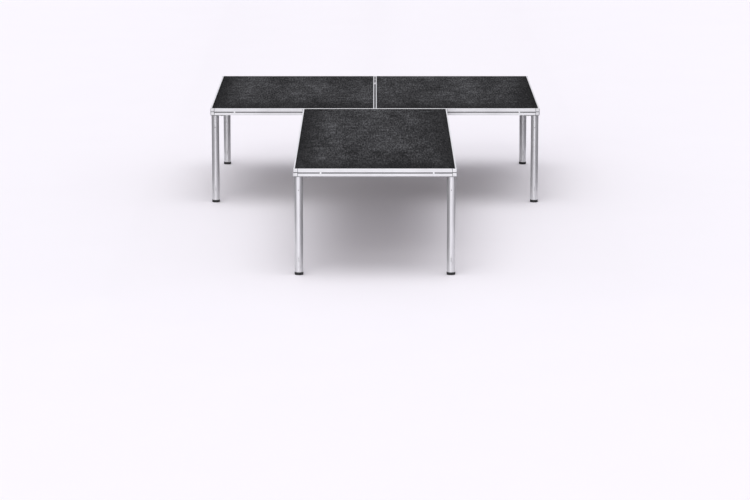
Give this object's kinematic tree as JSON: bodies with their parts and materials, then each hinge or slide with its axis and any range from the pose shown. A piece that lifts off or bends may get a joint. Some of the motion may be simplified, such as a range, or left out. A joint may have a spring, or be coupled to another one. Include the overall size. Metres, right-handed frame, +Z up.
{
  "type": "modular stage riser platform",
  "caption": "T-shaped modular stage riser: slotted aluminium edge frames with flush anti-slip tops on round tube legs with rubber feet, joined by plates under the seams.",
  "frame": {"origin": "on the floor under the middle of the stage's overall outline", "axes": "+X to the right across the back row, +Y from the front deck towards the back row, +Z up"},
  "size_m": [2.438, 4.572, 0.706],
  "materials": {
    "rail_aluminium": "satin anodised extrusion",
    "cast_aluminium": "fine matt casting",
    "joist_aluminium": "mill finish",
    "leg_aluminium": "satin anodised tube",
    "plywood": "raw birch plywood",
    "anti_slip_surface": "textured anti-slip",
    "steel_plate": "zinc plated",
    "steel_bracket": "dark grey powder coat",
    "zinc_screws": "zinc plated",
    "foot_rubber": "matt moulded rubber",
    "lock_steel": "plain steel, slightly dulled",
    "clamp_metal": "turned"
  },
  "bodies": {
    "stage_frame": {"left_deck_front_rail": "rail_aluminium", "left_deck_rear_rail": "rail_aluminium", "left_deck_outer_rail": "rail_aluminium", "left_deck_inner_rail": "rail_aluminium", "left_deck_corners": "cast_aluminium", "left_deck_joists": "joist_aluminium", "left_deck_panel": "plywood", "left_deck_surface": "anti_slip_surface", "left_deck_screws": "zinc_screws", "right_deck_front_rail": "rail_aluminium", "right_deck_rear_rail": "rail_aluminium", "right_deck_outer_rail": "rail_aluminium", "right_deck_inner_rail": "rail_aluminium", "right_deck_corners": "cast_aluminium", "right_deck_joists": "joist_aluminium", "right_deck_panel": "plywood", "right_deck_surface": "anti_slip_surface", "right_deck_screws": "zinc_screws", "front_deck_front_rail": "rail_aluminium", "front_deck_rear_rail": "rail_aluminium", "front_deck_left_rail": "rail_aluminium", "front_deck_right_rail": "rail_aluminium", "front_deck_corners": "cast_aluminium", "front_deck_joists": "joist_aluminium", "front_deck_panel": "plywood", "front_deck_surface": "anti_slip_surface", "front_deck_screws": "zinc_screws", "back_seam_plates": "steel_plate", "front_seam_plates": "steel_plate", "seam_bolts": "zinc_screws", "bracket_bolts": "zinc_screws", "rear_left_bracket": "steel_bracket", "rear_right_bracket": "steel_bracket", "mid_left_bracket": "steel_bracket", "mid_right_bracket": "steel_bracket", "front_left_bracket": "steel_bracket", "front_right_bracket": "steel_bracket"},
    "rear_left_leg": {"rear_left_leg": "leg_aluminium", "rear_left_foot": "foot_rubber"},
    "rear_right_leg": {"rear_right_leg": "leg_aluminium", "rear_right_foot": "foot_rubber"},
    "mid_left_leg": {"mid_left_leg": "leg_aluminium", "mid_left_foot": "foot_rubber"},
    "mid_right_leg": {"mid_right_leg": "leg_aluminium", "mid_right_foot": "foot_rubber"},
    "front_left_leg": {"front_left_leg": "leg_aluminium", "front_left_foot": "foot_rubber"},
    "front_right_leg": {"front_right_leg": "leg_aluminium", "front_right_foot": "foot_rubber"},
    "rear_left_lock_screw": {"rear_left_lock_screw": "lock_steel"},
    "rear_right_lock_screw": {"rear_right_lock_screw": "lock_steel"},
    "mid_left_lock_screw": {"mid_left_lock_screw": "lock_steel"},
    "mid_right_lock_screw": {"mid_right_lock_screw": "lock_steel"},
    "front_left_lock_screw": {"front_left_lock_screw": "lock_steel"},
    "front_right_lock_screw": {"front_right_lock_screw": "lock_steel"},
    "left_deck_slot_clamp": {"left_deck_slot_clamp": "clamp_metal"},
    "right_deck_slot_clamp": {"right_deck_slot_clamp": "clamp_metal"},
    "front_deck_left_slot_clamp": {"front_deck_left_slot_clamp": "clamp_metal"},
    "front_deck_right_slot_clamp": {"front_deck_right_slot_clamp": "clamp_metal"}
  },
  "joints": [
    {"name": "rear_left_leg_slide", "type": "slide", "parent": "stage_frame", "child": "rear_left_leg", "axis": [0, 0, -1], "range_m": [0, 0.13]},
    {"name": "rear_left_lock_screw_turn", "type": "hinge", "parent": "rear_left_leg", "child": "rear_left_lock_screw", "pos_m": [-1.183, 2.2225, 0.564], "axis": [0, -1, 0], "range_deg": [0, 360]},
    {"name": "rear_right_leg_slide", "type": "slide", "parent": "stage_frame", "child": "rear_right_leg", "axis": [0, 0, -1], "range_m": [0, 0.13]},
    {"name": "rear_right_lock_screw_turn", "type": "hinge", "parent": "rear_right_leg", "child": "rear_right_lock_screw", "pos_m": [1.183, 2.2225, 0.564], "axis": [0, -1, 0], "range_deg": [0, 360]},
    {"name": "mid_left_leg_slide", "type": "slide", "parent": "stage_frame", "child": "mid_left_leg", "axis": [0, 0, -1], "range_m": [0, 0.13]},
    {"name": "mid_left_lock_screw_turn", "type": "hinge", "parent": "mid_left_leg", "child": "mid_left_lock_screw", "pos_m": [-1.183, 0.4655, 0.564], "axis": [0, -1, 0], "range_deg": [0, 360]},
    {"name": "mid_right_leg_slide", "type": "slide", "parent": "stage_frame", "child": "mid_right_leg", "axis": [0, 0, -1], "range_m": [0, 0.13]},
    {"name": "mid_right_lock_screw_turn", "type": "hinge", "parent": "mid_right_leg", "child": "mid_right_lock_screw", "pos_m": [1.183, 0.4655, 0.564], "axis": [0, -1, 0], "range_deg": [0, 360]},
    {"name": "front_left_leg_slide", "type": "slide", "parent": "stage_frame", "child": "front_left_leg", "axis": [0, 0, -1], "range_m": [0, 0.13]},
    {"name": "front_left_lock_screw_turn", "type": "hinge", "parent": "front_left_leg", "child": "front_left_lock_screw", "pos_m": [-0.4975, -2.2775, 0.564], "axis": [0, -1, 0], "range_deg": [0, 360]},
    {"name": "front_right_leg_slide", "type": "slide", "parent": "stage_frame", "child": "front_right_leg", "axis": [0, 0, -1], "range_m": [0, 0.13]},
    {"name": "front_right_lock_screw_turn", "type": "hinge", "parent": "front_right_leg", "child": "front_right_lock_screw", "pos_m": [0.4975, -2.2775, 0.564], "axis": [0, -1, 0], "range_deg": [0, 360]},
    {"name": "left_deck_slot_clamp_turn", "type": "hinge", "parent": "stage_frame", "child": "left_deck_slot_clamp", "pos_m": [-1.039, 0.46, 0.6785], "axis": [0, -1, 0], "range_deg": [0, 90]},
    {"name": "right_deck_slot_clamp_turn", "type": "hinge", "parent": "stage_frame", "child": "right_deck_slot_clamp", "pos_m": [1.067, 0.46, 0.6785], "axis": [0, -1, 0], "range_deg": [0, 90]},
    {"name": "front_deck_left_slot_clamp_turn", "type": "hinge", "parent": "stage_frame", "child": "front_deck_left_slot_clamp", "pos_m": [-0.3535, -2.283, 0.6785], "axis": [0, -1, 0], "range_deg": [0, 90]},
    {"name": "front_deck_right_slot_clamp_turn", "type": "hinge", "parent": "stage_frame", "child": "front_deck_right_slot_clamp", "pos_m": [0.3815, -2.283, 0.6785], "axis": [0, -1, 0], "range_deg": [0, 90]}
  ]
}
